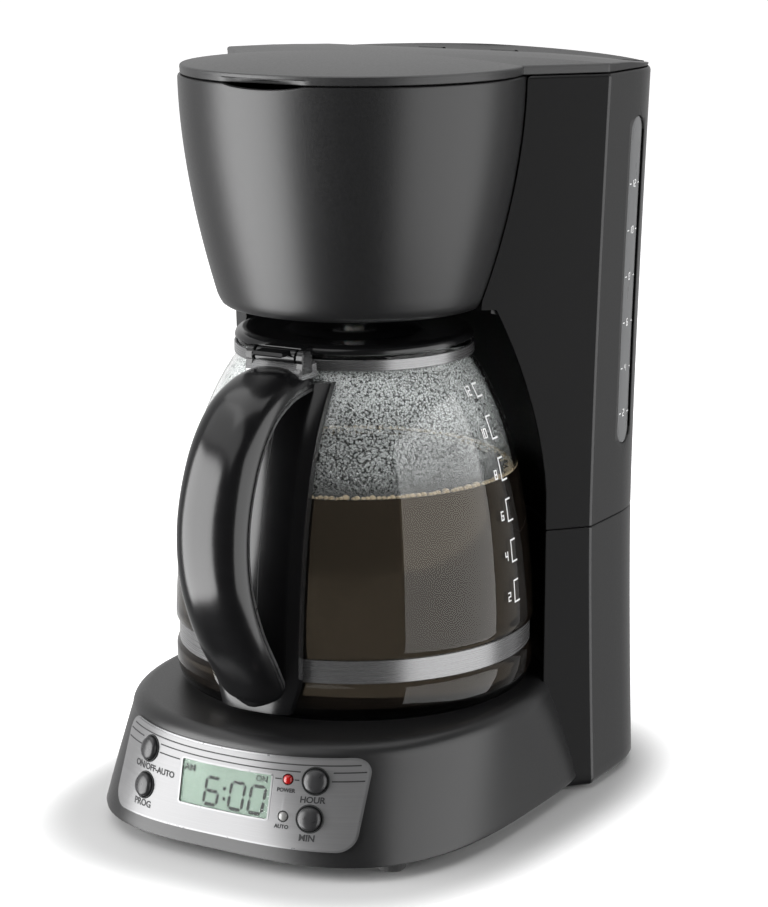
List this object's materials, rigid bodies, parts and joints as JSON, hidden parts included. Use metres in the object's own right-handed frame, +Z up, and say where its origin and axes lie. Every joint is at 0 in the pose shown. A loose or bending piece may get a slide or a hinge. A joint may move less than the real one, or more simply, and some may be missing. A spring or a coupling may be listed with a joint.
{
  "type": "drip coffee maker",
  "caption": "Drip coffee maker: base with warming plate and clock panel, water tower, round basket housing under a hinged lid, glass carafe with handle",
  "frame": {"origin": "middle of the footprint, on the surface that the feet stand on", "axes": "+Z up, -Y the front with the control panel and the carafe's handle, +X the right-hand side seen from the front"},
  "size_m": [0.1884, 0.2388, 0.3147],
  "materials": {
    "charcoal_plastic": "fine satin texture, soft highlights",
    "gloss_black_plastic": "polished moulding",
    "brushed_steel": "fine brushing along its length",
    "screw_steel": "zinc plated",
    "carafe_glass": "clear blown glass",
    "lcd_window": "clear lens",
    "coated_plate": "dark non-stick coating",
    "cast_aluminium": "as cast",
    "rubber": "matte",
    "silicone": "milky silicone",
    "tank_plastic": "smoky moulding",
    "window_plastic": "translucent grey moulding",
    "circuit_board": "green solder mask",
    "lcd_green": "pale green display",
    "red_led": "red lens",
    "clear_led": "clear lens"
  },
  "bodies": {
    "housing": {"auto_led": "clear_led", "base_cover": "charcoal_plastic", "base_housing": "charcoal_plastic", "base_screw_front_left": "screw_steel", "base_screw_front_right": "screw_steel", "base_screw_rear_left": "screw_steel", "base_screw_rear_right": "screw_steel", "basket_housing": "charcoal_plastic", "check_valve": "tank_plastic", "cold_water_hose": "silicone", "control_board": "circuit_board", "control_panel": "brushed_steel", "cord_gland": "rubber", "foot_front_left": "rubber", "foot_front_right": "rubber", "foot_rear_left": "rubber", "foot_rear_right": "rubber", "heat_spreader": "cast_aluminium", "heater_bracket": "brushed_steel", "heating_element": "cast_aluminium", "hose_clamp_inlet": "brushed_steel", "hose_clamp_riser": "brushed_steel", "hot_water_tube": "silicone", "lcd_module": "lcd_green", "lcd_window": "lcd_window", "lid_hinge_bracket": "charcoal_plastic", "lid_hinge_pin": "brushed_steel", "plate_seal": "rubber", "power_led": "red_led", "reservoir_housing": "charcoal_plastic", "thermal_fuse": "brushed_steel", "thermostat": "cast_aluminium", "tower_housing": "charcoal_plastic", "warming_plate": "coated_plate", "water_tank": "tank_plastic", "water_window": "window_plastic"},
    "top_lid": {"top_lid": "charcoal_plastic", "spray_head": "charcoal_plastic"},
    "brew_basket": {"brew_basket": "tank_plastic", "valve_cage": "tank_plastic", "valve_spring": "brushed_steel"},
    "drip_valve": {"drip_valve": "silicone"},
    "carafe": {"carafe_glass": "carafe_glass", "carafe_band": "brushed_steel", "neck_band": "brushed_steel", "carafe_handle": "gloss_black_plastic", "handle_screw": "brushed_steel", "carafe_lid_pin": "brushed_steel"},
    "carafe_lid": {"carafe_lid": "gloss_black_plastic"},
    "button_power": {"button_power": "gloss_black_plastic"},
    "button_program": {"button_program": "gloss_black_plastic"},
    "button_hour": {"button_hour": "gloss_black_plastic"},
    "button_minute": {"button_minute": "gloss_black_plastic"}
  },
  "joints": [
    {"name": "top_lid_hinge", "type": "hinge", "parent": "housing", "child": "top_lid", "pos_m": [0, 0.0964, 0.3086], "axis": [-1, 0, 0], "range_deg": [0, 95]},
    {"name": "brew_basket_lift", "type": "slide", "parent": "housing", "child": "brew_basket", "axis": [0, 0, 1], "range_m": [0, 0.01]},
    {"name": "drip_valve_lift", "type": "slide", "parent": "brew_basket", "child": "drip_valve", "axis": [0, 0, 1], "range_m": [0, 0.003], "stiffness_N_per_m": 200, "springref_m": -0.002, "deforming": ["valve_spring"]},
    {"name": "carafe_slide", "type": "slide", "parent": "housing", "child": "carafe", "axis": [0, -1, 0], "range_m": [0, 0.25]},
    {"name": "carafe_lid_hinge", "type": "hinge", "parent": "carafe", "child": "carafe_lid", "pos_m": [0, -0.0606, 0.1996], "axis": [1, 0, 0], "range_deg": [0, 3.2]},
    {"name": "button_power_press", "type": "slide", "parent": "housing", "child": "button_power", "axis": [0.3549, 0.8836, -0.3055], "range_m": [0, 0.0012], "stiffness_N_per_m": 600},
    {"name": "button_program_press", "type": "slide", "parent": "housing", "child": "button_program", "axis": [0.2885, 0.917, -0.2754], "range_m": [0, 0.0012], "stiffness_N_per_m": 600},
    {"name": "button_hour_press", "type": "slide", "parent": "housing", "child": "button_hour", "axis": [-0.3549, 0.8836, -0.3055], "range_m": [0, 0.0012], "stiffness_N_per_m": 600},
    {"name": "button_minute_press", "type": "slide", "parent": "housing", "child": "button_minute", "axis": [-0.2885, 0.917, -0.2754], "range_m": [0, 0.0012], "stiffness_N_per_m": 600}
  ]
}
